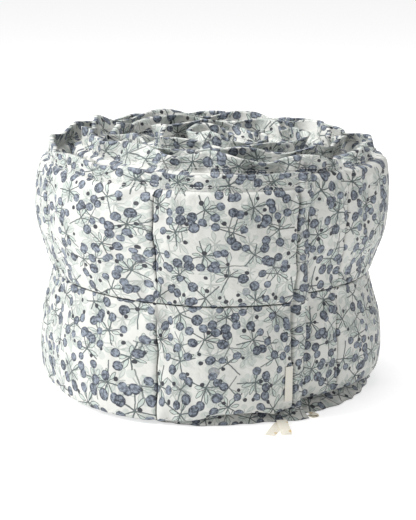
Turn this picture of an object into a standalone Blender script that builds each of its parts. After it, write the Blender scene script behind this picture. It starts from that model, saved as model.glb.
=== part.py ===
"""A crib bumper, rolled up and standing on its lower hem.

The bumper is one long quilted strip: two rows of filled cells between a top hem and a bottom
hem, sewn off by upright seams and by one seam along the middle. It is wound from its inner
end to its outer end, so its middle line is a spiral seen from above. The outer end lies at
the front right, with a flat end hem, a folded label in the end seam, and cotton ties.

Units are metres and degrees. +Z is up, -Y is the front. Along the strip, places are given
by the distance from its outer end, or by the turn angle: 0 at the outer end, growing towards
the left, the back and the right, and on inwards for nearly five turns.
"""

import math

import bmesh
import bpy
from mathutils import Vector

# ---------------------------------------------------------------- driving dimensions
PITCH = 0.04055  # from one turn of the roll to the next
OUTER_RADIUS = 0.2075  # middle line of the strip at its outer end
OUTER_END_ANGLE = 29.4  # the outer end, measured from the front towards the right
OVAL = 0.005  # the roll is this much longer than round, front to back
OVAL_ANGLE = -15.0  # direction of the long way of the oval
END_TUCK = 0.017  # the outer end lies this much closer to the turn below it
END_TUCK_ANGLE = 50.0  # and is back on the spiral after this angle
FLARE = 0.06  # share by which the roll widens from its foot to its top

END_HEM = 0.019  # flat hem at each end of the strip
OUTER_CELL = 0.1615  # the cell beside the outer end hem is a little wider than the others
CELL = 0.1565  # from one upright seam to the next
CELL_COUNT = 21

BOTTOM_SEAM = 0.012  # heights above the surface that the roll stands on
MIDDLE_SEAM = 0.1356
TOP_SEAM = 0.263
TOP_HEM = 0.0175  # from the top seam to the top edge
SLANT = 0.0055  # the seams lie this much higher on the left and lower on the right
RISE = 0.014  # the inner turns stand this much taller than the outer end
RISE_TURNS = 1.15  # and the strip rises to that over this many turns
MIDDLE_SHARE = 0.25  # how much of that rise the middle seam takes

CROWN = 0.0188  # a cell's bulge on each face
FREE_CROWN = 0.0212  # and on the outer face of the outermost turn, where nothing presses on it
PRESSED_FROM, PRESSED_TO = 0.86, 0.96  # turns over which the next turn comes to press on it
UPRIGHT_SHARE = 0.42  # how much of the bulge is left along an upright seam
SEAM_HALF = 0.0022  # half the thickness where the cloths are sewn together
HEM_HALF = 0.0020  # half the thickness of the top edge
FOOT_HALF = 0.0045  # half the width of the bottom hem, pressed flat on the surface
CORE_BULGE = 0.012  # the innermost turn swells this much more into the open middle
CORE_ANGLE = 60.0  # over this angle it comes to do so
CORE_CLEAR = 0.008  # and it stays this far from the middle of the roll

TAPE_WIDTH = 0.012
TAPE_THICK = 0.0016
LABEL_WIDTH = 0.0088
LABEL_THICK = 0.0012
LABEL_LOW, LABEL_HIGH = 0.0275, 0.0645  # heights of the label's two ends
LABEL_ROOT = 0.0006  # the label starts this far beside the end seam
GAP = 0.0004  # clearance between two pieces that touch

# Where the bottom hem turns out (+) or under (-) on the outermost turn.
# Columns: direction from the front towards the right, and how far the hem's foot is pushed.
FOOT_PUSH = ((-330, 0.015), (-285, 0.012), (-230, 0.002), (-130, -0.006), (-60, -0.015), (-22, -0.008))
FOOT_PUSH += ((-6, 0.007), (OUTER_END_ANGLE, 0.008))
PUSH_FADE = 60  # degrees over which the push dies out inside the table's first direction

# The wave of the top edge: columns are wave length in metres, its start, and its share.
EDGE_WAVES = ((0.090, 0.4, 0.55), (0.137, 2.1, 0.30), (0.241, 4.4, 0.15))
EDGE_UP_OUTER, EDGE_UP_INNER = 0.0035, 0.0060  # height of that wave, outermost turn and inwards
EDGE_SWAY_OUTER, EDGE_SWAY_INNER = 0.0015, 0.0060  # sideways sway of the top edge, likewise
EDGE_CALM = 0.20  # near its outer end, the strip's top edge lies straight

# Stations across one cell, as shares of its width, close together beside the seams.
CELL_STATIONS = (0.0, 0.06, 0.18, 0.34, 0.5, 0.66, 0.82, 0.94)
PUFF_STATIONS = (0.14, 0.37, 0.63, 0.86)  # shares of a row's height, between its seams
WIDEST_STEP = math.radians(12.0)  # no facet of the roll turns further than this

# ---------------------------------------------------------------- the strip as a formula
FULL_TURN = 2 * math.pi
LENGTH = 2 * END_HEM + OUTER_CELL + (CELL_COUNT - 1) * CELL
STANDING = TOP_SEAM + TOP_HEM


def smooth(share):
    """0 below 0, 1 above 1, and an S curve between them."""
    share = min(1.0, max(0.0, share))
    return share * share * (3 - 2 * share)


def between(low, high, share):
    """The value this share of the way from low to high."""
    return low + (high - low) * share


def turn_at(along):
    """Turn angle, in radians, of a point this far along the strip from its outer end."""
    slope = PITCH / (2 * FULL_TURN)
    root = math.sqrt(OUTER_RADIUS**2 - 4 * slope * along)
    return (OUTER_RADIUS - root) / (2 * slope)


LAST_TURN = turn_at(LENGTH)


def bearing(turn):
    """Direction from the roll's middle, in radians from the front towards the right."""
    return math.radians(OUTER_END_ANGLE) - turn


def tuck(turn):
    """How far the outer end is pressed in towards the turn below it."""
    return END_TUCK * (1 - smooth(turn / math.radians(END_TUCK_ANGLE)))


def flare(height):
    """How much wider than its middle line the roll is at this height."""
    return 1 + FLARE * (height / STANDING - 0.25)


def middle_radius(turn, height=STANDING / 4):
    """Radius of the strip's middle line."""
    spiral = OUTER_RADIUS - PITCH * turn / FULL_TURN
    oval = OVAL * math.cos(2 * (bearing(turn) - math.radians(OVAL_ANGLE)))
    return (spiral + oval * spiral / OUTER_RADIUS - tuck(turn)) * flare(height)


def seam_heights(turn):
    """Heights of the bottom, middle and top seams."""
    extra = RISE * smooth(turn / (RISE_TURNS * FULL_TURN))
    slant = SLANT * math.sin(bearing(turn))
    return BOTTOM_SEAM, MIDDLE_SEAM + MIDDLE_SHARE * extra - slant, TOP_SEAM + extra - slant


def foot_push(turn):
    """How far the foot of the bottom hem is pushed outwards, from the table of directions."""
    toward = math.degrees(bearing(turn))
    for (low, push), (high, next_push) in zip(FOOT_PUSH, FOOT_PUSH[1:]):
        if low <= toward <= high:
            return between(push, next_push, smooth((toward - low) / (high - low)))
    first, push = FOOT_PUSH[0]
    return push * (1 - smooth((first - toward) / PUSH_FADE))


def edge_wave(along):
    """The uneven wave of the top edge, between about -1 and 1."""
    wave = sum(share * math.sin(FULL_TURN * along / length + start) for length, start, share in EDGE_WAVES)
    return wave * smooth(along / EDGE_CALM)


def cell_share(along):
    """Where a place lies across its cell, as a share of the cell's width."""
    from_end = along - END_HEM
    if from_end < OUTER_CELL:
        return from_end / OUTER_CELL
    return (from_end - OUTER_CELL) / CELL % 1.0


def cell_bulge(along):
    """Bulge of a cell across its width: shallow along the upright seams, full at its middle."""
    hem = min(along, LENGTH - along) / END_HEM
    if hem < 1:
        return UPRIGHT_SHARE * smooth(hem)
    share = cell_share(along)
    return between(UPRIGHT_SHARE, 1.0, math.sqrt(4 * share * (1 - share)))


def row_bulge(share):
    """Bulge of a row across its height, a shallow arc between its two seams."""
    return 4 * share * (1 - share)


def outer_offset(along, share):
    """Distance of the outer face from the middle line."""
    pressed = smooth((turn_at(along) / FULL_TURN - PRESSED_FROM) / (PRESSED_TO - PRESSED_FROM))
    crown = between(FREE_CROWN, CROWN, pressed)
    return SEAM_HALF + (crown - SEAM_HALF) * cell_bulge(along) * row_bulge(share)


def inner_offset(along, share):
    """Distance of the inner face from the middle line."""
    turn = turn_at(along)
    in_core = smooth((turn - LAST_TURN + FULL_TURN) / math.radians(CORE_ANGLE))
    crown = CROWN - SEAM_HALF + CORE_BULGE * in_core
    reach = SEAM_HALF + crown * cell_bulge(along) * row_bulge(share)
    reach = min(reach, middle_radius(turn) - CORE_CLEAR)
    return max(reach - tuck(turn) * row_bulge(share), SEAM_HALF)


def place(turn, radius, height):
    """A point of the roll, from its turn angle, radius and height."""
    angle = bearing(turn)
    return Vector((radius * math.sin(angle), -radius * math.cos(angle), height))


def section(along):
    """The strip's cross-section at one station: up its outer face, then down its inner face."""
    turn = turn_at(along)
    outer, inner = [], []

    def level(height, outwards, inwards, shift=0.0):
        radius = middle_radius(turn, height) + shift
        outer.append(place(turn, radius + outwards, height))
        inner.append(place(turn, radius - inwards, height))

    bottom, middle, top = seam_heights(turn)
    level(0.0, FOOT_HALF, FOOT_HALF, foot_push(turn))
    level(bottom, SEAM_HALF, SEAM_HALF)
    for low, high in ((bottom, middle), (middle, top)):
        for share in PUFF_STATIONS:
            level(between(low, high, share), outer_offset(along, share), inner_offset(along, share))
        level(high, SEAM_HALF, SEAM_HALF)
    inwards = smooth(turn / FULL_TURN)
    edge = top + TOP_HEM + between(EDGE_UP_OUTER, EDGE_UP_INNER, inwards) * edge_wave(along)
    sway = between(EDGE_SWAY_OUTER, EDGE_SWAY_INNER, inwards) * edge_wave(along + CELL / 3)
    level(edge, HEM_HALF, HEM_HALF, sway)
    return outer + inner[::-1]


def stations():
    """Places along the strip where its cross-section is set out."""
    marks = [0.0, END_HEM / 2]
    marks += [END_HEM + OUTER_CELL * share for share in CELL_STATIONS]
    for cell in range(CELL_COUNT - 1):
        marks += [END_HEM + OUTER_CELL + CELL * (cell + share) for share in CELL_STATIONS]
    marks += [LENGTH - END_HEM, LENGTH - END_HEM / 2, LENGTH]
    fine = [marks[0]]
    for low, high in zip(marks, marks[1:]):
        parts = math.ceil((turn_at(high) - turn_at(low)) / WIDEST_STEP)
        fine += [between(low, high, part / parts) for part in range(1, parts + 1)]
    return fine


# ---------------------------------------------------------------- solids from sections
def cloth_material(name, colour, roughness):
    """A plain cloth finish for the solid."""
    material = bpy.data.materials.new(name)
    material.use_nodes = True
    shader = material.node_tree.nodes["Principled BSDF"]
    shader.inputs["Base Color"].default_value = (*colour, 1.0)
    shader.inputs["Roughness"].default_value = roughness
    shader.inputs["Metallic"].default_value = 0.0
    return material


def solid_from_sections(name, sections, material, parent):
    """One closed solid through a row of rings that all have the same number of points."""
    mesh = bpy.data.meshes.new(name)
    shape = bmesh.new()
    rings = [[shape.verts.new(point) for point in ring] for ring in sections]
    for ring, following in zip(rings, rings[1:]):
        for corner in range(len(ring)):
            beside = (corner + 1) % len(ring)
            shape.faces.new((ring[corner], ring[beside], following[beside], following[corner]))
    shape.faces.new(rings[0])
    shape.faces.new(rings[-1][::-1])
    bmesh.ops.recalc_face_normals(shape, faces=shape.faces)
    shape.to_mesh(mesh)
    shape.free()
    mesh.shade_smooth()
    mesh.set_sharp_from_angle(angle=math.radians(50))
    piece = bpy.data.objects.new(name, mesh)
    piece.data.materials.append(material)
    piece.parent = parent
    bpy.context.scene.collection.objects.link(piece)
    return piece


def tape(name, route, across, width, material, parent):
    """A flat tape along a route of points, lying square to its width direction."""
    sections = []
    for index, point in enumerate(route):
        heading = route[min(index + 1, len(route) - 1)] - route[max(index - 1, 0)]
        side = across.normalized() * width / 2
        lift = heading.cross(across).normalized() * TAPE_THICK / 2
        sections.append([point + side + lift, point - side + lift, point - side - lift, point + side - lift])
    return solid_from_sections(name, sections, material, parent)


# ---------------------------------------------------------------- the pieces
def make_strip(material, parent):
    """The padded strip, wound into the roll."""
    return solid_from_sections("padded_strip", [section(along) for along in stations()], material, parent)


LABEL_STEPS = 6


def make_label(material, parent):
    """A woven label, folded in two, caught in the end seam and lying on the outer cell."""
    sections = []
    bottom, middle, _ = seam_heights(turn_at(END_HEM))
    near, far = END_HEM + LABEL_ROOT, END_HEM + LABEL_ROOT + LABEL_WIDTH
    for step in range(LABEL_STEPS + 1):
        height = between(LABEL_LOW, LABEL_HIGH, step / LABEL_STEPS)
        share = (height - bottom) / (middle - bottom)
        ring = []
        for along, lift in ((near, GAP), (far, GAP), (far, GAP + LABEL_THICK), (near, GAP + LABEL_THICK)):
            turn = turn_at(along)
            radius = middle_radius(turn, height) + outer_offset(along, share) + lift
            ring.append(place(turn, radius, height))
        sections.append(ring)
    return solid_from_sections("label", sections, material, parent)


# Two tape ends that come from one place under the bottom hem and part on the surface. Columns:
# name, the way it points (degrees from straight ahead, positive to the right), its length, and
# how many tapes it lies on at its root.
TAILS = (("tie_tail_left", -16.0, 0.047, 0), ("tie_tail_right", 5.0, 0.045, 1))
TAIL_ROOT = 0.0376  # place of their root along the strip
TAIL_STEPS = 16
DROP_FROM, DROP_TO = 0.80, 0.97  # shares of its length where the upper tape comes down


def make_tail(name, aim, length, layer, material, parent):
    """A tape end that comes from under the bottom hem and lies on the surface."""
    turn = turn_at(TAIL_ROOT)
    aim = math.radians(aim)
    ahead = Vector((math.sin(aim), -math.cos(aim), 0.0))
    slant = bearing(turn) - aim
    corner = abs(math.sin(slant)) * TAPE_WIDTH / 2
    foot = middle_radius(turn, 0.0) + foot_push(turn) + FOOT_HALF
    root = place(turn, foot, TAPE_THICK / 2) + ahead * (GAP + corner) / math.cos(slant)
    route = []
    for step in range(TAIL_STEPS + 1):
        share = step / TAIL_STEPS
        dropped = smooth((share - DROP_FROM) / (DROP_TO - DROP_FROM))
        lift = layer * (TAPE_THICK + GAP) * (1 - dropped)
        route.append(root + ahead * length * share + Vector((0, 0, lift)))
    across = ahead.cross(Vector((0, 0, 1)))
    return tape(name, route, across, TAPE_WIDTH, material, parent)


LOOP_REACH = 0.009  # how far the tape loop shows beyond the end hem
LOOP_HEIGHT = 0.0048
LOOP_STEPS = 8


def make_loop(material, parent):
    """A tape folded back on itself that peeps out beside the foot of the end hem."""
    foot = middle_radius(0.0, 0.0) + foot_push(0.0)
    outwards = place(0.0, 1.0, 0.0)
    ahead = Vector((-outwards.y, outwards.x, 0.0))
    half = Vector((0, 0, (LOOP_HEIGHT - TAPE_THICK) / 2))
    start = outwards * foot + ahead * GAP + Vector((0, 0, TAPE_THICK / 2))
    bend = start + ahead * (LOOP_REACH - GAP - LOOP_HEIGHT / 2)
    route = [start, bend]
    for step in range(1, LOOP_STEPS):
        angle = math.pi * step / LOOP_STEPS
        route.append(bend + half + ahead * half.z * math.sin(angle) - half * math.cos(angle))
    route += [bend + 2 * half, start + 2 * half]
    return tape("tie_loop", route, outwards, TAPE_WIDTH, material, parent)


def centre_on_origin(frame, pieces):
    """Moves the parent so that the origin is at the middle of the box's lower face."""
    corners = [vertex.co for piece in pieces for vertex in piece.data.vertices]
    for axis in (0, 1):
        places = [corner[axis] for corner in corners]
        frame.location[axis] = -(min(places) + max(places)) / 2


def main():
    for old in list(bpy.data.objects):
        bpy.data.objects.remove(old, do_unlink=True)
    frame = bpy.data.objects.new("bumper_frame", None)
    bpy.context.scene.collection.objects.link(frame)
    printed = cloth_material("printed_cotton", (0.56, 0.59, 0.60), 0.85)
    cream = cloth_material("cream_tape", (0.83, 0.78, 0.66), 0.8)
    woven = cloth_material("woven_label", (0.74, 0.70, 0.62), 0.75)
    pieces = [make_strip(printed, frame), make_label(woven, frame), make_loop(cream, frame)]
    pieces += [make_tail(*row, cream, frame) for row in TAILS]
    centre_on_origin(frame, pieces)


main()
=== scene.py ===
# %% [markdown]
# # A crib bumper, rolled up and standing on its lower hem
# The bumper is one long strip of printed cotton, front and back, filled and sewn off into two rows
# of cells, with a flat hem all round. It stands in a roll of nearly five turns. Its outer end, with
# a small label and cotton ties, faces the camera.
#
# The packed solids give the size and the place of everything. They load first as a fixed frame,
# and each piece made here rides on them.

# %% The frame
import math

import bpy
import numpy as np
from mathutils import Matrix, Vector


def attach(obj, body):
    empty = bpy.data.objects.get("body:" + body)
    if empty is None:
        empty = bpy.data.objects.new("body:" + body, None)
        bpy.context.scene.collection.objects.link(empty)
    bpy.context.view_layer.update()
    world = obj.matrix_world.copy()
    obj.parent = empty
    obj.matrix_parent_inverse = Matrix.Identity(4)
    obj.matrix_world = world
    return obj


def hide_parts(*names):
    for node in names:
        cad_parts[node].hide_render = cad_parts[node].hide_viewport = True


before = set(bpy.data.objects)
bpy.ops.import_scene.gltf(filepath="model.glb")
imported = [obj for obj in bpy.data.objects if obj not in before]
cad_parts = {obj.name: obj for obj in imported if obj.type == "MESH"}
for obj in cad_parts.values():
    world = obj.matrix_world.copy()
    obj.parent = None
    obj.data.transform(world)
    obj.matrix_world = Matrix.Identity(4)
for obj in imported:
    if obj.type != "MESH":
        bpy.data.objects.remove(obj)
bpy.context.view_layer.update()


def in_scene(name, data):
    """A new object of the scene."""
    piece = bpy.data.objects.new(name, data)
    bpy.context.scene.collection.objects.link(piece)
    return piece

# %% [markdown]
# ## The view
# The camera was found from the photo: the height of the rim's ellipse against its width gives the
# tilt, and the two sides of the roll narrow downwards by so little that the lens must be long.
# The roll's pole, where all its turns start, isn't the middle of its box, so it has a name.

# %% Camera
POLE = Vector((0.01149, 0.01491, 0.0))  # the middle of the winding, seen from above
CAMERA_PLACE = POLE + Vector((-0.014, -2.300, 0.661))
CAMERA_TILT = 77.24  # degrees from straight down
LENS = 137.1  # mm, on a picture whose long side is 36 mm

camera = in_scene("camera", bpy.data.cameras.new("camera"))
camera.location = CAMERA_PLACE
camera.rotation_euler = (math.radians(CAMERA_TILT), 0.0, 0.0)
camera.data.lens = LENS
camera.data.sensor_width = 36.0
bpy.context.scene.camera = camera

# %% [markdown]
# ## The winding
# Seen from above, the strip's middle line is a spiral with an even pitch. A point of the roll is
# given by its distance along the strip from the outer end, its height, and how far it stands out
# from the middle line. The sizes are those of the solids.

# %% Sizes of the strip and its roll
PITCH = 0.04055  # from one turn to the next; all sizes here are in metres
OUTER_RADIUS = 0.2075
OUTER_END_ANGLE = 29.4  # degrees from the front towards the right
OVAL, OVAL_ANGLE = 0.005, -15.0
END_TUCK, END_TUCK_ANGLE = 0.017, 50.0
FLARE, FLARE_FROM = 0.06, 0.25  # the share by which the roll widens, and where it is at its true size
END_HEM, OUTER_CELL, CELL, CELL_COUNT = 0.019, 0.1615, 0.1565, 21
BOTTOM_SEAM, MIDDLE_SEAM, TOP_SEAM, TOP_HEM = 0.012, 0.1356, 0.263, 0.0175
SLANT, RISE, RISE_TURNS, MIDDLE_SHARE = 0.0055, 0.014, 1.15, 0.25  # how the rows tilt and rise
CROWN, FREE_CROWN = 0.0188, 0.0212  # the bulge of a cell between the turns, and on the outside
UPRIGHT_SHARE = 0.36  # of that bulge, what is left at an upright seam
SEAM_HALF, FOOT_HALF = 0.0022, 0.0045  # half the thickness at a seam and at the foot
CORE_BULGE, CORE_CLEAR = 0.012, 0.008

FULL_TURN = 2 * math.pi
LENGTH = 2 * END_HEM + OUTER_CELL + (CELL_COUNT - 1) * CELL
STANDING = TOP_SEAM + TOP_HEM


def smooth(share):
    """0 below 0, 1 above 1, and an S curve between them."""
    share = np.clip(share, 0.0, 1.0)
    return share * share * (3 - 2 * share)


def between(low, high, share):
    """The value this share of the way from low to high."""
    return low + (high - low) * share


def turn_at(along):
    """Turn angle of a place along the strip."""
    slope = PITCH / (2 * FULL_TURN)
    return (OUTER_RADIUS - np.sqrt(OUTER_RADIUS**2 - 4 * slope * along)) / (2 * slope)


def bearing(turn):
    """Direction from the pole, from the front towards the right."""
    return math.radians(OUTER_END_ANGLE) - turn


def by_direction(table, turn, beyond=0.0):
    """A value read from a table whose rows are a direction in degrees and a value."""
    directions, values = zip(*table)
    return np.interp(np.degrees(bearing(turn)), directions, values, left=0.0, right=beyond)


def end_tuck(turn):
    """How far the outer end is pressed in towards the turn below it."""
    return END_TUCK * (1 - smooth(turn / math.radians(END_TUCK_ANGLE)))


def middle_radius(turn, height):
    """Radius of the strip's middle line at a height."""
    spiral = OUTER_RADIUS - PITCH * turn / FULL_TURN
    oval = OVAL * np.cos(2 * (bearing(turn) - math.radians(OVAL_ANGLE)))
    radius = spiral + oval * spiral / OUTER_RADIUS - end_tuck(turn)
    return radius * (1 + FLARE * (height / STANDING - FLARE_FROM))


def place(turn, radius, height):
    """Points of the roll in the frame, one row of x, y, z for each."""
    angle = bearing(turn)
    x = POLE.x + radius * np.sin(angle)
    y = POLE.y - radius * np.cos(angle)
    return np.stack([x, y, height + 0 * x], axis=-1)


LAST_TURN = float(turn_at(LENGTH))
print(f"strip {LENGTH:.2f} m long, {LAST_TURN / FULL_TURN:.2f} turns")

# %% [markdown]
# ## Stations and levels
# The strip's cloth is a grid: stations along it and levels up its height. The points crowd beside
# the seams, where cloth puckers, and spread on the taut middle of a cell. The outermost turn shows
# all its height, so it has the most stations.

# %% Stations along the strip and levels up its height
FINE_CELLS, CORE_CELLS = 9, 7  # the cells of the outermost turn, and those round the core
FINE_STEPS, PLAIN_STEPS, CORE_STEPS = 45, 40, 32  # stations in one cell
FIRST_STEPS, LAST_STEPS = 12, 5  # stations in the hems at the outer and the inner end
FOOT_STEPS, ROW_STEPS, HEM_STEPS = 4, 34, 8  # levels in the bottom hem, a row and the top hem
FINE_PULL, PLAIN_PULL, ROW_PULL = 0.40, 0.2, 0.45  # how strongly they crowd beside the seams
SLOT_CLEAR = 0.0025  # half the width of the stretch that a seam's slot takes
BESIDE_SEAM = np.array([0.0, 0.0007, 0.0015])  # extra points for the slot of a seam
UPRIGHT_SEAMS = np.concatenate([[END_HEM], END_HEM + OUTER_CELL + CELL * np.arange(CELL_COUNT)])


def crowded(steps, pull):
    """Shares from 0 to 1, closer together at both ends."""
    share = np.arange(steps) / steps
    return share - pull * np.sin(FULL_TURN * share) / FULL_TURN


def make_stations():
    """Distances along the strip, close together beside each upright seam."""
    marks = [np.linspace(0.0, END_HEM - SLOT_CLEAR, FIRST_STEPS), END_HEM - BESIDE_SEAM[:0:-1]]
    for cell in range(CELL_COUNT):
        start, end = UPRIGHT_SEAMS[cell], UPRIGHT_SEAMS[cell + 1]
        if cell < FINE_CELLS:
            free = SLOT_CLEAR + (end - start - 2 * SLOT_CLEAR) * crowded(FINE_STEPS, FINE_PULL)
            marks += [start + BESIDE_SEAM, start + free, [end - SLOT_CLEAR], end - BESIDE_SEAM[:0:-1]]
        else:
            steps = CORE_STEPS if cell >= CELL_COUNT - CORE_CELLS else PLAIN_STEPS
            marks.append(start + (end - start) * crowded(steps, PLAIN_PULL))
    count = sum(len(mark) for mark in marks)
    steps = LAST_STEPS + (-count) % 4  # so that the count is a multiple of 4, and 1
    marks.append(np.linspace(LENGTH - END_HEM, LENGTH, steps))
    return np.concatenate(marks)


def row_shares():
    """Levels of one row of cells, as shares of its height."""
    row_height = (TOP_SEAM - BOTTOM_SEAM) / 2
    beside, clear = BESIDE_SEAM / row_height, SLOT_CLEAR / row_height
    free = clear + (1 - 2 * clear) * crowded(ROW_STEPS, ROW_PULL)
    return np.concatenate([beside, free, [1 - clear], 1 - beside[:0:-1]])


levels = (crowded(FOOT_STEPS, 0), row_shares(), row_shares(), crowded(HEM_STEPS, 0))
ZONE = np.array([number for number in range(4) for _ in levels[number]] + [3])
SHARE = np.concatenate([*levels, [1.0]])
LEVELS = len(ZONE)
along = make_stations()
print(f"{len(along)} stations, {LEVELS} levels on each face")

# %% [markdown]
# ## Ruffles
# The top edge waves, because the inner turns are wound tighter than the cloth is long, so its
# spare length stands in folds. A ruffle is a line of random bends: their places come from a seeded
# generator, so the roll is the same each time.

# %% Ruffles
class Ruffle:
    """A smooth line through random bends, between about -1 and 1."""

    def __init__(self, seed, shortest, longest):
        dice = np.random.default_rng(seed)
        gaps = dice.uniform(shortest, longest, int(LENGTH / shortest) + 4)
        self.places = np.cumsum(gaps) - longest
        sign = np.where(np.arange(len(gaps)) % 2, 1.0, -1.0)
        self.bends = sign * dice.uniform(0.35, 1.0, len(gaps))

    def at(self, where):
        index = np.clip(np.searchsorted(self.places, where) - 1, 0, len(self.places) - 2)
        low, high = self.places[index], self.places[index + 1]
        return between(self.bends[index], self.bends[index + 1], smooth((where - low) / (high - low)))


wide_ruffle, small_ruffle = Ruffle(3, 0.026, 0.062), Ruffle(7, 0.009, 0.019)
edge_ruffle, crumple = Ruffle(11, 0.030, 0.075), Ruffle(19, 0.014, 0.030)
EDGE_CALM = 0.20  # near its outer end, the strip's top edge lies straight
EDGE_UP_OUTER, EDGE_UP_INNER = 0.0030, 0.0058
print(len(wide_ruffle.places), "wide bends and", len(small_ruffle.places), "small ones")

# %% [markdown]
# ## Lines and bulges
# Five lines run along the strip: its foot, three seams and its top edge. Between two seams the
# filling pushes the cloth out. A cell bulges full at its middle and shallow along the upright
# seams, where the filling on both sides keeps the cloth from closing.

# %% Lines along the strip and the bulge between them
# Rows of a direction and a size: where the top edge sinks, and where the foot is pushed outwards.
EDGE_DROP = ((-325, 0.0), (-300, 0.005), (-270, 0.0075), (-235, 0.005), (-205, 0.0))
FOOT_PUSH = ((-390, 0.0), (-345, 0.010), (-330, 0.021), (-312, 0.018), (-298, 0.011), (-283, 0.004),
             (-230, 0.002), (-130, -0.006), (-60, -0.015), (-22, -0.008), (-6, 0.007), (4, 0.009),
             (14, 0.009), (21, 0.014), (30, 0.016))


def line_heights(along):
    """Heights of the foot, the bottom, middle and top seams, and the top edge."""
    turn = turn_at(along)
    extra = RISE * smooth(turn / (RISE_TURNS * FULL_TURN))
    slant = SLANT * np.sin(bearing(turn))
    top = TOP_SEAM + extra - slant
    loose = between(EDGE_UP_OUTER, EDGE_UP_INNER, smooth(turn / FULL_TURN))
    loose = loose * smooth(along / EDGE_CALM)
    edge = top + TOP_HEM - by_direction(EDGE_DROP, turn) + loose * edge_ruffle.at(along)
    foot = np.zeros_like(along)
    return np.stack([foot, foot + BOTTOM_SEAM, MIDDLE_SEAM + MIDDLE_SHARE * extra - slant, top, edge])


def foot_push(turn):
    """How far the foot of the bottom hem is pushed outwards."""
    return by_direction(FOOT_PUSH, turn, beyond=FOOT_PUSH[-1][1])


def cell_bulge(along):
    """Bulge of a cell across its width, and none on the hems of the two ends."""
    hem = np.minimum(along, LENGTH - along) / END_HEM
    cell = np.clip(np.searchsorted(UPRIGHT_SEAMS, along, side="right") - 1, 0, CELL_COUNT - 1)
    inside = (along - UPRIGHT_SEAMS[cell]) / (UPRIGHT_SEAMS[cell + 1] - UPRIGHT_SEAMS[cell])
    inside = np.clip(inside, 0.0, 1.0)
    full = between(UPRIGHT_SHARE, 1.0, np.sqrt(4 * inside * (1 - inside)))
    return np.where(hem <= 1, 0.0, full)


LOWER_ROUND, UPPER_ROUND = (0.52, 0.92), (0.95, 0.78)  # how full a row is at its bottom and its top
PRESSED_ROUND = (0.60, 0.36)  # between the turns the cells swell upwards


def row_bulge(lower, upper):
    """Bulge of the rows across their height. The filling has sunk: the lower row is full low down."""
    bulge = np.zeros_like(SHARE)
    for number, (low, high) in ((1, lower), (2, upper)):
        peak = low / (low + high)
        shape = (SHARE / peak) ** low * ((1 - SHARE) / (1 - peak)) ** high
        bulge = np.where(ZONE == number, shape, bulge)
    return bulge


IN_ROWS = np.isin(ZONE, (1, 2))
FREE_ROW = row_bulge(LOWER_ROUND, UPPER_ROUND)
PRESSED_ROW = row_bulge(LOWER_ROUND, PRESSED_ROUND)

lines = line_heights(along)
heights = between(lines[ZONE].T, lines[ZONE + 1].T, SHARE)
above = [heights - line[:, None] for line in lines]  # how far each grid point lies above each line
print("top edge at", *(int(round(1000 * end)) for end in (lines[4].min(), lines[4].max())), "mm")

# %% [markdown]
# ## Seams that aren't quite straight
# A seam drawn with a ruler looks like a machine part. A sewer's seam drifts by a millimetre or two,
# and the pull of the filling bends it. So the places of the stations wander beside each seam. The
# outer end's seam bends most, as the camera sees it from nearby.

# %% Wandering seams
FIRST_SEAM_SHIFT, SHIFT_WIDTH = 0.0085, 0.020  # the first upright seam lies nearer to the outer end
END_SEAM_BEND = (
    (0.0, 0.002), (0.027, 0.0035), (0.065, 0.007), (0.135, 0.0048), (0.2, 0.0028), (0.263, 0.001))
SEAM_WAVES, WAVE_WIDTH = ((0.0013, 61, 70), (0.0007, 170, 50)), 0.016
FREE_EDGE_WAVES = ((0.0018, 34, 0.6), (0.0008, 120, 0.0))  # columns: size, how often, shift


def waves(heights, columns):
    """A line up the strip that waves from side to side."""
    return sum(size * np.sin(heights * often + shift) for size, often, shift in columns)


def wander(along, heights):
    """Places along the strip, where its upright seams and its free edge wander."""
    places = along[:, None] + 0 * heights
    near_end, near_first = (np.exp(-((along[:, None] - UPRIGHT_SEAMS[seam]) / SHIFT_WIDTH) ** 2)
                            for seam in (0, 1))
    places += np.interp(heights, *zip(*END_SEAM_BEND)) * near_end - FIRST_SEAM_SHIFT * near_first
    for seam in UPRIGHT_SEAMS:
        bend = waves(heights, [(size, often, shift * seam) for size, often, shift in SEAM_WAVES])
        places += bend * np.exp(-((along[:, None] - seam) / WAVE_WIDTH) ** 2)
    places += waves(heights, FREE_EDGE_WAVES) * smooth(1 - along / END_HEM)[:, None]
    return np.minimum(places, LENGTH)


places = wander(along, heights)
print("the seams wander by up to", np.round(1000 * np.abs(places - along[:, None]).max(), 1), "mm")

# %% [markdown]
# ## Puckers
# A seam draws the cloth in, and the cloth beside it has no way to shrink. It answers with puckers:
# short folds square to the seam, deepest a few millimetres away from it, then dying out. A loop
# scatters them along every seam. Where two seams cross, the pull runs out in a star.

# %% Fields of puckers
FOLD_REACH, STAR_REACH = 0.05, 0.06  # a fold or a star is worked out this far along the strip
STAR_DEPTH, STAR_SIZE = 0.0070, 0.011
STAR_STRENGTHS = ((1, 0.6), (2, 1.0), (3, 0.6))  # of the stars on the bottom, middle and top seams
TIGHT_SEAMS, TIGHT_STRENGTH = (1, 8, 9), 1.9  # these pull hardest on the middle seam


def fade(away):
    """Nothing at a seam, most at 1, and dying out beyond it."""
    away = np.maximum(away, 0.0)
    return away * np.exp(1 - away)


def stretch(spot, reach):
    """The stations that lie this near to a spot."""
    return slice(*np.searchsorted(along, (spot - reach, spot + reach)))


def level_puckers(seed, rise, every, wide, tall, far):
    """Folds along a level seam; rise is how far each grid point lies above it."""
    dice = np.random.default_rng(seed)
    field = np.zeros_like(rise)
    spot = 0.0
    while spot < LENGTH:
        spot += dice.uniform(*every)
        width, height, reach, lean = (dice.uniform(*pair) for pair in (wide, tall, far, (-0.5, 0.5)))
        near = stretch(spot, FOLD_REACH)
        away = rise[near]
        across = (along[near, None] - spot - lean * np.abs(away)) / width
        field[near] -= height * np.exp(-across**2) * fade(away / reach)
    return field


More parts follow.
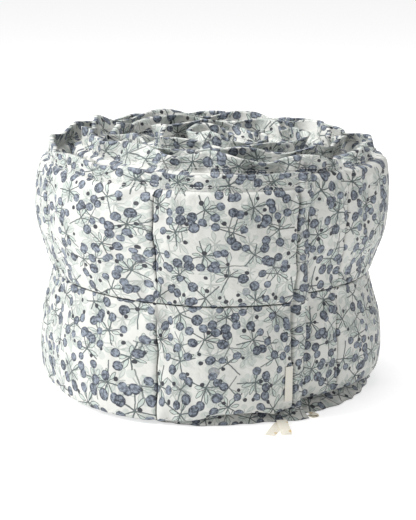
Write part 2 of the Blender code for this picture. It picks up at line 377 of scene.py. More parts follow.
def seam_puckers(dice, field, seam, side, every, wide, tall, far):
    """Folds on one side of an upright seam, drawn into the field."""
    near = stretch(seam, FOLD_REACH)
    away = side * (along[near, None] - seam)
    spot = BOTTOM_SEAM
    while spot < TOP_SEAM:
        spot += dice.uniform(*every)
        width, height, reach, lean = (dice.uniform(*pair) for pair in (wide, tall, far, (-0.6, 0.6)))
        across = (heights[near] - spot - lean * away) / width
        field[near] -= height * np.exp(-across**2) * fade(away / reach)


def upright_puckers(seed, pattern):
    """Folds on both sides of the upright seams."""
    dice = np.random.default_rng(seed)
    field = np.zeros_like(heights)
    for seam in UPRIGHT_SEAMS:
        for side in (-1, 1):
            seam_puckers(dice, field, seam, side, *pattern)
    return field


def stars():
    """Pulls that run out from where an upright seam crosses a level one."""
    field = np.zeros_like(heights)
    for line, usual in STAR_STRENGTHS:
        for number, seam in enumerate(UPRIGHT_SEAMS):
            strength = TIGHT_STRENGTH if line == 2 and number in TIGHT_SEAMS else usual
            near = stretch(seam, STAR_REACH)
            sideways = along[near, None] - seam
            rise = above[line][near]
            angle = np.arctan2(rise, sideways) + 0.25 * math.sin(5.1 * number)
            rays = 0.5 - 0.5 * np.cos(4 * angle)
            pull = fade(np.hypot(sideways, rise) / STAR_SIZE)
            field[near] -= strength * STAR_DEPTH * rays**2 * pull
    return field

# %% Small forms on a face
# Each pattern gives ranges to draw from: the way to the next fold, its width, its depth, and how far
# from the seam it is deepest.
SMALL_FOLDS = (0.012, 0.034), (0.0022, 0.0048), (0.0006, 0.0020), (0.004, 0.009)
LONG_FOLDS = (0.030, 0.085), (0.004, 0.008), (-0.0012, 0.0022), (0.010, 0.022)
UPRIGHT_FOLDS = (0.010, 0.030), (0.002, 0.005), (0.0003, 0.0013), (0.004, 0.009)
SEAM_SIDES = ((1, 1, 1), (2, 1, -1), (2, 2, 1), (3, 2, -1))  # columns: seam, row of cells, its side
INNER_SEEDS, UPRIGHT_SEED = 50, 30


def folds(outer):
    """All small forms on one face, as heights above its smooth bulge."""
    seeds = 0 if outer else INNER_SEEDS
    field = np.zeros_like(heights)
    for number, (line, row, side) in enumerate(SEAM_SIDES):
        rise = side * above[line]
        for style, pattern in enumerate((SMALL_FOLDS, LONG_FOLDS)):
            sprung = level_puckers(seeds + 10 * style + number, rise, *pattern)
            field += np.where(ZONE == row, sprung, 0.0)
    upright = upright_puckers(seeds + UPRIGHT_SEED, UPRIGHT_FOLDS) + stars()
    return field + np.where(IN_ROWS, upright, 0.0)


outer_folds, inner_folds = folds(True), folds(False)
print("deepest fold in mm:", np.round(-1000 * min(outer_folds.min(), inner_folds.min()), 1))

# %% [markdown]
# ## The two faces of the strip
# Both faces start at the middle line. Each adds the bulge of its cells, its puckers, the turned foot
# and the swaying top hem. The inner face is the same thing turned inside out. The roll sags and
# leans by different amounts on each side, so these large forms are read from tables by direction.

# %% Faces of the strip
BELLY = ((-346, 0.0), (-310, 0.0), (-290, 0.003), (-270, 0.005), (-235, 0.005), (-180, 0.003),
         (-120, 0.006), (-90, 0.006), (-60, 0.004), (-25, 0.002), (-6, -0.002), (5, -0.004),
         (16, -0.003), (24, 0.0))  # how far the lower row sags outwards
BELLY_LOW, BELLY_TALL = 0.020, 0.110
SIDE_SWELL = (
    (-347, 0.0), (-334, 0.0045), (-310, 0.0045), (-270, 0.004), (-225, 0.002), (-190, 0.0))
SWELL_LOW, SWELL_TALL = 0.150, 0.040  # the upper row swells at the sides, above this height
LEAN = ((-450, -0.003), (-425, -0.009), (-380, -0.009), (-335, -0.004), (-300, -0.008),
        (-265, -0.009), (-225, -0.006), (-180, -0.003), (30, -0.003))  # of the top hem
THINNEST = 0.0010  # half the cloth's thickness in the deepest fold
PRESSED_FROM, PRESSED_OVER = 0.86, 0.1  # in turns: where the next turn starts to press on the cells
CORE_OVER = 60  # degrees
FOOT_WAVE = 0.0016


def cells_offset(outer, turn, radius):
    """How far the filled cells stand off the middle line."""
    inwards = smooth(turn / FULL_TURN)
    row = between(FREE_ROW, PRESSED_ROW, inwards if outer else 1.0)
    bulge = cell_bulge(along)[:, None] * row
    if outer:
        pressed = smooth((turn / FULL_TURN - PRESSED_FROM) / PRESSED_OVER)
        return SEAM_HALF + (between(FREE_CROWN, CROWN, pressed) - SEAM_HALF) * bulge
    in_core = smooth((turn - LAST_TURN + FULL_TURN) / math.radians(CORE_OVER))
    offset = SEAM_HALF + (CROWN - SEAM_HALF + CORE_BULGE * in_core) * bulge
    offset = np.minimum(offset, radius - CORE_CLEAR)
    return np.maximum(offset - end_tuck(turn) * row, SEAM_HALF)


def with_foot_and_belly(offset, outer, turn):
    """The same with the foot's hem turned out or in, and with the sag of the rows."""
    foot = np.where(ZONE == 0, 1 - SHARE, 0.0)
    side = 1 if outer else -1
    offset = offset + foot * side * (FOOT_HALF - SEAM_HALF) + foot**1.5 * foot_push(turn)
    offset = offset + FOOT_WAVE * foot * small_ruffle.at(along)[:, None]
    if outer:
        low_down = 1 - smooth((heights - BELLY_LOW) / BELLY_TALL)
        offset = offset + by_direction(BELLY, turn) * low_down
    return offset + by_direction(SIDE_SWELL, turn) * smooth((heights - SWELL_LOW) / SWELL_TALL)

# %% [markdown]
# The top hem is where the roll looks most like cloth. It sways in wide waves, leans inwards and is
# crumpled. Small gathers start at its seam and run a little way down into the cell. All of this is
# weak near the outer end and grows towards the inner turns. The end's own flat hem stands out
# beside its seam, then curls in to lie on the turn below it.

# %% Top hem and end hem
SWAY, GATHER, CRUMPLE = (0.0020, 0.0105), (0.0006, 0.0032), (0.0006, 0.0038)  # outside and inside
CALM_SLACK = 0.3  # the share of gathers and crumples at the outer end
CRUMPLE_SHIFT, CRUMPLE_START = 0.007, 0.3
GATHER_UP, GATHER_DOWN = 0.8, 6  # how fast the gathers die out above the seam and below it
INNER_GATHER = 1.5  # the inner face has more spare cloth than the outer one
END_SLOT, END_SLOT_OVER = 0.0046, 0.0018  # how far from its seam the end hem rises
END_LIFT, END_CURL = 0.0068, -0.0050


def with_top_hem(offset, outer, turn):
    """The same with the sway, the lean, the gathers and the crumples of the top hem."""
    inwards = smooth(turn / FULL_TURN)
    hem = np.where(ZONE == 3, SHARE, 0.0)
    calm = smooth(along / EDGE_CALM)[:, None]
    slack = between(CALM_SLACK, 1.0, calm)
    sway = between(*SWAY, inwards) * calm
    offset = offset + (sway * wide_ruffle.at(along)[:, None] + by_direction(LEAN, turn)) * hem**1.2
    shifted = along[:, None] + CRUMPLE_SHIFT * hem * crumple.at(along + CRUMPLE_START)[:, None]
    below = np.where(ZONE == 2, np.exp((SHARE - 1) * GATHER_DOWN), 0.0)
    near_seam = np.where(ZONE == 3, np.exp(-GATHER_UP * SHARE), below)
    more = np.where((ZONE == 2) & (not outer), INNER_GATHER, 1.0)
    gather = between(*GATHER, inwards) * slack * more
    offset = offset + gather * small_ruffle.at(shifted) * near_seam
    return offset + between(*CRUMPLE, inwards) * slack * crumple.at(shifted) * hem


def face(outer, small_forms):
    """Grid of points, one row for each station: the outer face, or else the inner one."""
    turn = turn_at(places)
    radius = middle_radius(turn, heights)
    thickness = np.maximum(cells_offset(outer, turn, radius) + small_forms, THINNEST)
    offset = with_foot_and_belly((1 if outer else -1) * thickness, outer, turn)
    offset = with_top_hem(offset, outer, turn)
    curl = np.maximum(1 - along / END_HEM, 0.0)[:, None]
    lift = END_LIFT * smooth((END_HEM - along - END_SLOT) / END_SLOT_OVER)[:, None]
    offset = offset + (lift + END_CURL * curl**2) * np.isin(ZONE, (1, 2, 3))
    return place(turn, radius + offset, heights)


outer_face, inner_face = face(True, outer_folds), face(False, inner_folds)
from_pole = np.hypot(outer_face[..., 0] - POLE.x, outer_face[..., 1] - POLE.y)
print("widest radius in mm:", np.round(1000 * from_pole.max(), 1))

# %% [markdown] ## Letting the cloth settle Puckers that a loop sets out look orderly. Real ones
# come from spare cloth that the thread holds back, and each one makes room for the next. So the
# outermost turn goes through a short cloth simulation. Its seams and hems are held, it gets a
# little more cloth than its space needs, and the filling presses from inside, so it buckles where
# the seams pinch it. How far a point may move is capped, so the roll keeps its size.

# %% Cloth simulation of the outermost turn
SETTLE_FRAMES, CELL_SPARE, FILLING_PRESSURE = 22, 0.045, 1.6
SETTLED_CELLS = 7.9  # it goes this many cells past the outer one
MOVE_CAP, LAST_FADE = 0.0065, 40  # metres, and the stations over which the moves die out
HOLD_SEAM, HOLD_UPRIGHT = 0.0022, 0.0020  # the thread holds the cloth this far to either side
COTTON = dict(quality=5, mass=0.15, tension_stiffness=12, compression_stiffness=12,
              shear_stiffness=4, bending_stiffness=0.12, air_damping=4)


def cells_held(count):
    """True where a seam or a hem holds the cloth of the first stations."""
    held = ~IN_ROWS[None, :] | np.zeros((count, 1), dtype=bool)
    for line in (1, 2, 3):
        held |= np.abs(above[line][:count]) < HOLD_SEAM
    for seam in UPRIGHT_SEAMS:
        held |= (np.abs(along[:count] - seam) < HOLD_UPRIGHT)[:, None]
    held[along[:count] < END_HEM] = True
    held[-1] = True
    return held


def loose_cloth(grid, held, spare):
    """A grid of cloth as an object, with its points that are held and those with spare cloth."""
    points = np.arange(held.size).reshape(held.shape)
    quads = np.stack([points[:-1, :-1], points[1:, :-1], points[1:, 1:], points[:-1, 1:]], axis=-1)
    mesh = bpy.data.meshes.new("settling")
    mesh.from_pydata(grid.reshape(-1, 3).tolist(), [], quads.reshape(-1, 4).tolist())
    piece = in_scene("settling", mesh)
    piece.vertex_groups.new(name="held").add(np.nonzero(held.ravel())[0].tolist(), 1.0, "REPLACE")
    loose = piece.vertex_groups.new(name="spare")
    for station, amount in enumerate(spare):
        loose.add(points[station].tolist(), float(amount) / float(spare.max()), "REPLACE")
    return piece


def simulated_moves(grid, held, spare, pressure, frames):
    """How far each point of a grid of cloth moves in the simulation, capped."""
    piece = loose_cloth(grid, held, spare)
    cloth = piece.modifiers.new("cloth", "CLOTH").settings
    cloth.vertex_group_mass = "held"
    cloth.vertex_group_shrink = "spare"
    cloth.shrink_min, cloth.shrink_max = 0.0, -float(spare.max())
    for name, value in COTTON.items():
        setattr(cloth, name, value)
    cloth.use_pressure = pressure > 0
    cloth.uniform_pressure_force = pressure
    cloth.effector_weights.gravity = 0
    for frame_number in range(1, frames + 1):
        bpy.context.scene.frame_set(frame_number)
    result = piece.evaluated_get(bpy.context.evaluated_depsgraph_get()).to_mesh()
    moved = np.zeros(3 * held.size)
    result.vertices.foreach_get("co", moved)
    move = moved.reshape(grid.shape) - grid
    mesh = piece.data
    bpy.data.objects.remove(piece)
    bpy.data.meshes.remove(mesh)
    bpy.context.scene.frame_set(1)
    length = np.linalg.norm(move, axis=-1, keepdims=True)
    mean, most = (float(size) * 1000 for size in (length.mean(), length.max()))
    print(f"the simulation moves the cloth by {mean:.2f} mm on average, {most:.1f} mm at most")
    return move * MOVE_CAP * np.tanh(length / MOVE_CAP) / np.maximum(length, 1e-9)


def settle_cells():
    """Moves the outermost turn's outer face."""
    count = int(np.searchsorted(along, END_HEM + OUTER_CELL + SETTLED_CELLS * CELL))
    held, spare = cells_held(count), np.full(count, CELL_SPARE)
    move = simulated_moves(outer_face[:count], held, spare, FILLING_PRESSURE, SETTLE_FRAMES)
    outer_face[:count] += move * smooth((count - 1 - np.arange(count)) / LAST_FADE)[:, None, None]


settle_cells()

# %% [markdown]
# ## Creases
# The thread holds each seam down in a narrow slot between two soft walls. A slot is finer than the
# simulation's springs, so it comes after it. Beside each seam the cloth rises steeply, and over the
# middle seam the rows also close from above and below. Low down, the lower row's cloth hangs over
# the bottom seam, as its filling has sunk. How much it closes or hangs depends on the direction.

# %% Creases along the seams
MIDDLE_SLOT, END_SEAM_SLOT, UPRIGHT_SLOT = 0.0058, 0.0046, 0.0026  # how far the walls rise
BOTTOM_SLOT, TOP_SLOT = 0.0040, 0.0030
SLOT_HALF, WALL_FAR = 0.0014, 0.014
CLOSING, MIDDLE_FAR, UPRIGHT_FAR = 0.84, 0.0080, 0.0045  # how nearly walls meet, and how far off
UPRIGHT_CLOSING = 0.6  # the share of it at all the upright seams but the end's
OVERHANG, OVERHANG_FAR = 0.017, 0.012
PINCH = ((-331, 1.0), (-300, 0.5), (-270, 0.1), (-240, 0.4), (-180, 1.0), (-130, 0.5), (-95, 0.1),
         (-62, 0.4), (-30, 1.0), (30, 1.0))  # how closely the rows meet
OVERHANG_BY = ((-330, 0.12), (-290, 0.25), (-250, 0.6), (-230, 0.7), (-130, 0.6), (-80, 0.45),
               (-55, 0.65), (-35, 0.9), (-20, 1.0), (-8, 0.8), (-1, 0.3), (12, 0.35), (17, 0.7),
               (21, 0.3), (26, 0.1))  # the share of the overhang


def wall(away, rise):
    """Nothing on a seam, a steep rise beside it that dies out far from it."""
    return rise * (1 - np.exp(-(away / SLOT_HALF) ** 2)) * np.exp(-np.abs(away) / WALL_FAR)


def closed(away, far):
    """How far a wall leans over its seam; the two walls never pass each other."""
    return -CLOSING * away * np.exp(-np.abs(away) / far)


def creased(grid):
    """The outer face with its seams drawn into slots."""
    open_ends = smooth(FREE_ROW * 3)
    turn = turn_at(along)[:, None]
    in_cell = smooth((along - END_HEM) / SLOT_CLEAR)[:, None]
    pinch = in_cell * by_direction(PINCH, turn)
    lift = np.where(IN_ROWS, wall(above[2], MIDDLE_SLOT) * pinch, 0.0)
    lift += np.where(ZONE == 1, wall(above[1], BOTTOM_SLOT), 0.0) * in_cell
    lift += np.where(ZONE == 2, wall(above[3], TOP_SLOT), 0.0) * in_cell
    sideways = np.zeros_like(heights)
    edge_free = smooth(along / END_HEM)[:, None]
    for seam in UPRIGHT_SEAMS:
        away = along[:, None] - seam
        slot, share = (END_SEAM_SLOT, 1.0) if seam == END_HEM else (UPRIGHT_SLOT, UPRIGHT_CLOSING)
        lift += np.where(IN_ROWS & (along > END_HEM)[:, None], wall(away, slot) * open_ends, 0.0)
        leant = share * closed(away, UPRIGHT_FAR) * open_ends
        sideways += np.where(IN_ROWS, leant, 0.0) * edge_free
    shift = np.where(IN_ROWS, closed(above[2], MIDDLE_FAR), 0.0) * pinch
    hang = by_direction(OVERHANG_BY, turn)
    shift -= np.where(ZONE == 1, OVERHANG * hang * fade(above[1] / OVERHANG_FAR), 0.0)
    angle = bearing(turn)
    outwards = np.stack(np.broadcast_arrays(np.sin(angle), -np.cos(angle), 0.0), axis=-1)
    ahead = np.stack(np.broadcast_arrays(-np.cos(angle), -np.sin(angle), 0.0), axis=-1)
    grid = grid + lift[..., None] * outwards + sideways[..., None] * ahead
    grid[..., 2] = np.maximum(grid[..., 2] + shift, 0.0)
    return grid


before_creases = outer_face
outer_face = creased(before_creases)
moved = np.linalg.norm(outer_face - before_creases, axis=-1)
print("the creases move the cloth by up to", round(1000 * moved.max(), 1), "mm")

# %% [markdown]
# ## From the grid to a mesh
# Up the outer face and down the inner face, the points make a ring at each station, and rings are
# joined by quads. Between the turns, far below the rim, nobody sees the cloth: there a block of
# four stations and two levels becomes one face, and the mesh stays light. Where a block meets fine
# quads it takes their corners in, so there is no crack.

# %% Mesh of the strip
BLOCK = 4
SEEN_SHARE = 0.36  # of the upper row's height: above this the inner turns show
DEEP_CELLS = 7.6  # this many cells past the outer one, the outer face is covered too

rings = np.concatenate([outer_face, inner_face[:, ::-1]], axis=1)
RING = rings.shape[1]
low_cells = int(np.sum((ZONE < 2) | ((ZONE == 2) & (SHARE < SEEN_SHARE)))) // 2 * 2


def hidden_cells():
    """True for each grid cell, by station and place on the ring, that is part of a block."""
    hidden = np.zeros((len(along) - 1, RING), dtype=bool)
    hidden[:, RING - 1 - low_cells:RING - 1] = True
    deep = int(np.searchsorted(along, END_HEM + OUTER_CELL + DEEP_CELLS * CELL)) // BLOCK * BLOCK
    hidden[deep:, :low_cells] = True
    return hidden


def strip_faces(hidden):
    """Lists of corners: a quad for each fine cell, one wide face for each hidden block."""
    def corner(station, level):
        return int(station * RING + level % RING)

    def fine(station, level):
        inside = 0 <= station < hidden.shape[0]
        return not (inside and hidden[station, level % RING])

    faces = []
    for station, level in zip(*np.nonzero(~hidden)):
        faces.append([corner(station, level), corner(station + 1, level),
                      corner(station + 1, level + 1), corner(station, level + 1)])
    for station, level in zip(*np.nonzero(hidden)):
        first = RING - 1 - low_cells if level >= LEVELS else 0
        if station % BLOCK or (level - first) % 2:
            continue
        far, high = station + BLOCK, level + 2
        loop = [corner(station, level)]
        if fine(station, level - 1):
            loop += [corner(other, level) for other in range(station + 1, far)]
        loop.append(corner(far, level))
        if fine(far, level):
            loop.append(corner(far, level + 1))
        loop.append(corner(far, high))
        if fine(station, high):
            loop += [corner(other, high) for other in range(far - 1, station, -1)]
        loop.append(corner(station, high))
        if fine(station - 1, level):
            loop.append(corner(station, level + 1))
        faces.append(loop)
    last = (len(along) - 1) * RING
    return faces + [list(range(RING))[::-1], list(range(last, last + RING))]


faces = strip_faces(hidden_cells())
print(len(faces), "faces,", sum(len(loop) - 2 for loop in faces), "triangles")

# %% [markdown]
# The print needs a place on the flat cloth for each point, in metres: the distance along the strip,
# and the height that the cloth had before it was filled. On the inner face the height runs on over
# the top edge. Both go into a UV map, which the materials read.

# %% The strip as an object
FLAT_HEIGHTS = np.array([0.0, 0.020, 0.153, 0.286, 0.306])  # of the five lines, on the flat cloth


def mesh_object(name, points, faces, flat):
    """A smooth-shaded piece from points and faces, with its flat places as a UV map."""
    used = np.unique(np.concatenate([np.asarray(loop) for loop in faces]))
    renumber = np.full(len(points), -1)
    renumber[used] = np.arange(len(used))
    mesh = bpy.data.meshes.new(name)
    mesh.from_pydata(points[used].tolist(), [], [renumber[loop].tolist() for loop in faces])
    corners = np.zeros(len(mesh.loops), dtype=np.int32)
    mesh.loops.foreach_get("vertex_index", corners)
    places = flat[used][corners].astype(np.float32)
    mesh.uv_layers.new(name="flat").data.foreach_set("uv", places.ravel())
    mesh.shade_smooth()
    return in_scene(name, mesh)


def strip_flat():
    """Place of each ring point on the flat cloth."""
    up = between(FLAT_HEIGHTS[ZONE], FLAT_HEIGHTS[np.minimum(ZONE + 1, 4)], SHARE)
    ring = np.concatenate([up, 2 * FLAT_HEIGHTS[-1] - up[::-1]])
    return np.stack(np.broadcast_arrays(along[:, None], ring[None, :]), axis=-1).reshape(-1, 2)


def facing_out(points, faces):
    """The same faces, turned round if they face inwards."""
    volume = 0.0
    for loop in faces:
        corners = points[loop]
        middle = np.cross(corners[1:-1] - corners[0], corners[2:] - corners[0]).sum(axis=0)
        volume += float(middle @ corners.mean(axis=0))
    return faces if volume > 0 else [loop[::-1] for loop in faces]


strip_points = rings.reshape(-1, 3)
strip = mesh_object("padded_cotton", strip_points, facing_out(strip_points, faces), strip_flat())
print("strip:", len(strip.data.vertices), "points")

# %% [markdown]
# ## Node helper
# A material here is a chain of small sums. Writing each node by hand hides the idea, so a small
# helper makes a node, links its inputs and hands back its output. It has short words for the sums
# that come up most.

# %% Node helper
class Wiring:
    """Makes nodes in one tree, from values or from the outputs of other nodes."""

    def __init__(self, tree):
        self.tree = tree

    def join(self, value, socket):
        """Links an output to a socket, or gives the socket a value or a colour of three parts."""
        if isinstance(value, bpy.types.NodeSocket):
            self.tree.links.new(value, socket)
        elif socket.type == "RGBA":
            socket.default_value = (*value, 1.0)
        else:
            socket.default_value = value

    def node(self, kind, inputs=None, **settings):
        node = self.tree.nodes.new(kind)
        for name, value in settings.items():
            setattr(node, name, value)
        for name, value in (inputs or {}).items():
            self.join(value, node.inputs[name])
        return node

    def sum(self, operation, *values, clamp=False):
        inputs = dict(enumerate(values))
        return self.node("ShaderNodeMath", inputs, operation=operation, use_clamp=clamp).outputs[0]

    def plus(self, first, second):
        return self.sum("ADD", first, second)

    def minus(self, first, second):
        return self.sum("SUBTRACT", first, second)

    def times(self, first, second):
        return self.sum("MULTIPLY", first, second)

    def times_plus(self, first, second, third, clamp=False):
        return self.sum("MULTIPLY_ADD", first, second, third, clamp=clamp)

    def vector(self, operation, *values):
        inputs = dict(enumerate(values))
        return self.node("ShaderNodeVectorMath", inputs, operation=operation).outputs[0]

    def parts(self, vector):
        return self.node("ShaderNodeSeparateXYZ", {0: vector}).outputs

    def joined(self, x, y, z):
        return self.node("ShaderNodeCombineXYZ", {"X": x, "Y": y, "Z": z}).outputs[0]

    def step(self, value, start, end):
        """0 below start, 1 above end, soft between them."""
        inputs = {"Value": value, "From Min": start, "From Max": end}
        soft = self.node("ShaderNodeMapRange", inputs, interpolation_type="SMOOTHSTEP")
        return soft.outputs["Result"]

    def drop(self, value, start, end):
        """1 below start, 0 above end, soft between them."""
        return self.minus(1.0, self.step(value, start, end))

    def mix(self, amount, first, second):
        """A colour this far from the first to the second."""
        inputs = {"Factor": amount, 6: first, 7: second}
        return self.node("ShaderNodeMix", inputs, data_type="RGBA").outputs[2]

    def noise(self, place, scale, detail, **more):
        """Smooth noise, as a value and as a colour."""
        inputs = {"Vector": place, "Scale": scale, "Detail": detail, **more}
        return self.node("ShaderNodeTexNoise", inputs).outputs

    def dice(self, key):
        """Rolls that stay the same for the same key, as a value and as a colour."""
        return self.node("ShaderNodeTexWhiteNoise", {"Vector": key}, noise_dimensions="3D").outputs

    def bump(self, height, strength, distance, **under):
        """A normal that follows a height."""
        inputs = {"Height": height, "Strength": strength, "Distance": distance, **under}
        return self.node("ShaderNodeBump", inputs).outputs["Normal"]


def new_group(name, inputs, outputs):
    """A shader node group with named sockets: its wiring, its inputs and its output node."""
    tree = bpy.data.node_groups.new(name, "ShaderNodeTree")
    for label, start in inputs.items():
        kind = "NodeSocketVector" if start is None else "NodeSocketFloat"
        socket = tree.interface.new_socket(label, in_out="INPUT", socket_type=kind)
        if start is not None:
            socket.default_value = start
    for label in outputs:
        tree.interface.new_socket(label, in_out="OUTPUT", socket_type="NodeSocketFloat")
    wiring = Wiring(tree)
    return wiring, wiring.node("NodeGroupInput").outputs, wiring.node("NodeGroupOutput").inputs


print("helper words:", [word for word in vars(Wiring) if not word.startswith("_")])

# %% [markdown]
# ## Weave
# All the cloth here is woven: the cotton plain, the tape in twill, the label in fine rib. Up close
# the threads go over and under. The weave group takes a place on the cloth and the number of
# threads to the metre. It puts out the height of the threads, for bump, and a faint streak for
# threads that are a little thicker or paler than their neighbours.

# %% Weave group
STREAK_SCALE = (900.0, 60.0, 1.0)  # streaks are long along a thread and narrow across it


def make_weave():
    wiring, given, wanted = new_group(
        "weave", {"Place": None, "Threads": 2400.0, "Twill": 0.0}, ("Height", "Streak"))
    times = wiring.times
    split = wiring.parts(given["Place"])
    across, up = times(split["X"], given["Threads"]), times(split["Y"], given["Threads"])
    slope = times(across, given["Twill"])
    warp = wiring.sum("SINE", times(across, math.pi))
    weft = wiring.sum("SINE", times(wiring.plus(up, slope), math.pi))
    height = wiring.times_plus(times(warp, weft), 0.5, 0.5)
    stretched = wiring.node("ShaderNodeMapping", {"Vector": given["Place"], "Scale": STREAK_SCALE})
    streak = wiring.noise(stretched.outputs[0], 1.0, 2.0)["Fac"]
    wiring.join(height, wanted["Height"])
    wiring.join(streak, wanted["Streak"])
    return wiring.tree


weave = make_weave()
print("weave group:", len(weave.nodes), "nodes")

# %% [markdown]
# ## The berry print
# The cotton is printed with sprigs: stems that spread from one point, each with a round slate-blue
# berry or a slender leaf at its end, and loose dots between them. The motif is a common one, and
# its layout here is its own. The cloth is divided into square cells, and white noise gives each
# cell's sprig its own shift and turn. Inside a cell, the angle round the sprig is cut into equal
# arms, and each arm has its own length, bend and berry size. So two nodes of noise draw thousands
# of different sprigs, and nothing is stored.

# %% Sprig group
FAN = 0.64  # the berries' share of the full turn round a sprig
ROAM = 0.10  # how far a sprig's middle may stray, as a share of its cell
BERRY_SALT, LEAF_SALT, KEY_STEPS = 3.1, 7.7, (31.7, 17.3)  # they keep the dice of two arms apart
BERRY_SWAY, LEAF_SWAY, BEND, BEND_REACH = 0.16, 0.12, 1.4, 0.017
# The spread and the least of each size: the first two as shares of a cell, the others in metres.
STEM_LONG, BERRY_HALF = (0.13, 0.14), (0.034, 0.078)
LEAF_LONG, LEAF_HALF = (0.0065, 0.0085), (0.0008, 0.0015)
STUB = 0.16  # the bare stem on the far side of the fan, as a share of a cell
LEAF_START, STALK_END = 0.0030, (0.0042, 0.0046)
# From where to where an edge goes soft, in metres, and a few shares of the dice.
STEM_EDGE, STEM_END = (0.0005, 0.00085), (0.0, 0.0006)
STEM_START, KNOT = (0.0002, 0.0010), (0.0010, 0.0018)
BERRY_EDGE, BERRY_RIM, RIM_TONE, DICE_TONE = 0.00035, 0.0022, 0.55, 0.45
LEAF_EDGE, LINE_EDGE, STALK_EDGE = (-0.0003, 0.0001), (0.0002, 0.00055), (0.0002, 0.0006)
WIDE_ENOUGH, NO_BERRY, NO_LEAF = (0.0001, 0.0003), (0.08, 0.09), (0.42, 0.43)


def make_sprigs():
    wiring, given, wanted = new_group(
        "sprigs",
        {"Place": None, "Cell": 0.07, "Shift": None, "Seed": 0.0, "Arms": 5.0, "Leaf Arms": 7.0},
        ("Berry", "Tone", "Stem", "Leaf", "Outline"))
    sum_, step, drop = wiring.sum, wiring.step, wiring.drop
    plus, minus, times, times_plus = wiring.plus, wiring.minus, wiring.times, wiring.times_plus
    cell_size = wiring.joined(given["Cell"], given["Cell"], 1.0)
    scaled = wiring.vector("DIVIDE", given["Place"], cell_size)
    scaled = wiring.vector("ADD", scaled, given["Shift"])
    cell = wiring.vector("FLOOR", scaled)
    cell_parts = wiring.parts(cell)
    key = wiring.joined(cell_parts["X"], cell_parts["Y"], given["Seed"])
    rolled = wiring.parts(wiring.dice(key)["Color"])
    inside = wiring.parts(wiring.vector("SUBTRACT", scaled, cell))

    def centred(part, roll):
        return times(plus(times_plus(roll, -ROAM, part), ROAM / 2 - 0.5), given["Cell"])

    x, y = centred(inside["X"], rolled["X"]), centred(inside["Y"], rolled["Y"])
    far = sum_("SQRT", plus(times(x, x), times(y, y)))
    angle = times_plus(rolled["Z"], FULL_TURN, sum_("ARCTAN2", y, x))
    share = sum_("FRACT", sum_("DIVIDE", angle, FULL_TURN))

    def arm(count, salt, fan, sway):
        """The arm of a place: its dice, how far out and how far off its line, and 1 past the fan."""
        turns = sum_("DIVIDE", times(share, count), fan)
        number = sum_("FLOOR", turns)
        beyond = step(minus(number, count), -0.6, -0.4)
        key = wiring.joined(times_plus(cell_parts["X"], KEY_STEPS[0], number),
                            times_plus(cell_parts["Y"], KEY_STEPS[1], salt), given["Seed"])
        roll = wiring.dice(key)
        parts = wiring.parts(roll["Color"])
        middle = minus(minus(turns, number), 0.5)
        turned = sum_("DIVIDE", times(middle, FULL_TURN * fan), count)
        jittered = plus(turned, times_plus(parts["X"], sway, -0.5 * sway))
        most = times_plus(parts["Y"], BEND * sway, -0.5 * BEND * sway)
        swayed = plus(jittered, times(most, sum_("DIVIDE", far, BEND_REACH)))
        back = times(minus(share, 0.5 + 0.5 * fan), FULL_TURN)
        choice = {0: beyond, 2: swayed, 3: back}
        away = wiring.node("ShaderNodeMix", choice, data_type="FLOAT").outputs[0]
        out = times(far, sum_("COSINE", away))
        off = sum_("ABSOLUTE", times(far, sum_("SINE", away)))
        return parts, roll["Value"], out, off, beyond

    parts, extra, out, off, beyond = arm(given["Arms"], BERRY_SALT, FAN, BERRY_SWAY)
    reach = times(times_plus(parts["Z"], *STEM_LONG), given["Cell"])
    size = times(times_plus(extra, *BERRY_HALF), given["Cell"])
    has_berry = times(step(parts["Y"], *NO_BERRY), minus(1.0, beyond))
    stem_end = plus(reach, times(times(beyond, STUB), given["Cell"]))
    stem = times(drop(off, *STEM_EDGE), drop(minus(out, stem_end), *STEM_END))
    stem = times(stem, step(out, *STEM_START))
    stem = sum_("MAXIMUM", stem, drop(far, *KNOT))
    past_middle = minus(out, plus(reach, size))
    from_middle = sum_("SQRT", plus(sum_("POWER", past_middle, 2.0), sum_("POWER", off, 2.0)))
    edge = minus(from_middle, size)
    berry = times(drop(edge, -BERRY_EDGE, BERRY_EDGE), has_berry)
    tone = times_plus(extra, DICE_TONE, times(step(edge, -BERRY_RIM, 0.0), RIM_TONE))

    parts, extra, out, off, _ = arm(given["Leaf Arms"], LEAF_SALT, 1.0, LEAF_SWAY)
    length = times_plus(parts["Z"], *LEAF_LONG)
    along_leaf = sum_("DIVIDE", minus(out, LEAF_START), length, clamp=True)
    half = times(sum_("SINE", times(along_leaf, math.pi)), times_plus(extra, *LEAF_HALF))
    rim = minus(off, half)
    has_leaf = step(parts["Y"], *NO_LEAF)
    has_width = times(step(half, *WIDE_ENOUGH), has_leaf)
    leaf = times(drop(rim, *LEAF_EDGE), has_width)
    line = times(drop(sum_("ABSOLUTE", rim), *LINE_EDGE), has_width)
    stalk = times(drop(off, *STALK_EDGE), drop(out, *STALK_END))
    outline = sum_("MAXIMUM", line, times(stalk, has_leaf))
    results = {"Berry": berry, "Tone": tone, "Stem": stem, "Leaf": leaf, "Outline": outline}
    for label, value in results.items():
        wiring.join(value, wanted[label])
    return wiring.tree


sprigs = make_sprigs()
print("sprig group:", len(sprigs.nodes), "nodes")
